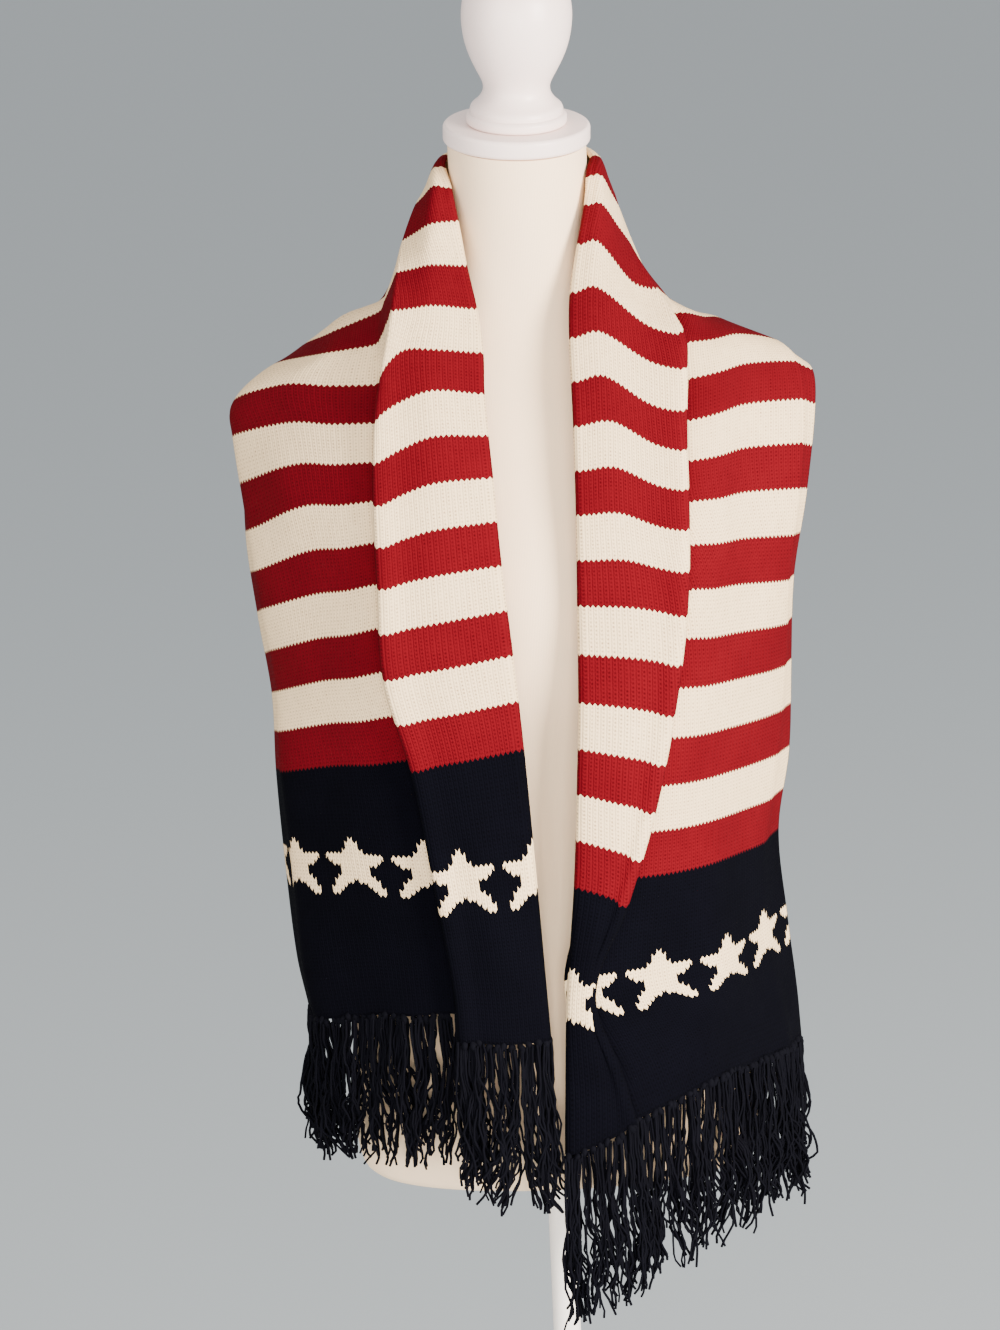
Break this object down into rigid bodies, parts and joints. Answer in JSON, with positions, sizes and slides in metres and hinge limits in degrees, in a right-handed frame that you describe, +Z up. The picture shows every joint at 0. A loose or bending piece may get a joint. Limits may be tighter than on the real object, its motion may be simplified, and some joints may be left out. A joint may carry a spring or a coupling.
{
  "type": "knit scarf on dress form stand",
  "caption": "Long striped knit scarf with starred dark ends and knotted fringe, hung like a shawl on a limbless jersey dress form with a turned wood neck cap, pole and round base.",
  "frame": {"origin": "middle of the round base's underside, on the floor", "axes": "+Z up along the pole, the front of the form faces -Y"},
  "size_m": [0.4467, 0.34, 1.6409],
  "materials": {
    "stand_metal": "satin",
    "form_jersey": "matte",
    "painted_wood": "satin",
    "scarf_knit": "matte",
    "fringe_yarn": "matte"
  },
  "bodies": {
    "root": {"base_plate": "stand_metal", "base_collar": "stand_metal", "pole": "stand_metal", "support_flange": "stand_metal", "form_torso": "form_jersey", "neck_cap": "painted_wood", "finial": "painted_wood", "scarf_left": "scarf_knit", "scarf_neck": "scarf_knit", "scarf_right": "scarf_knit", "fringe_left": "fringe_yarn", "fringe_right": "fringe_yarn"}
  },
  "joints": []
}
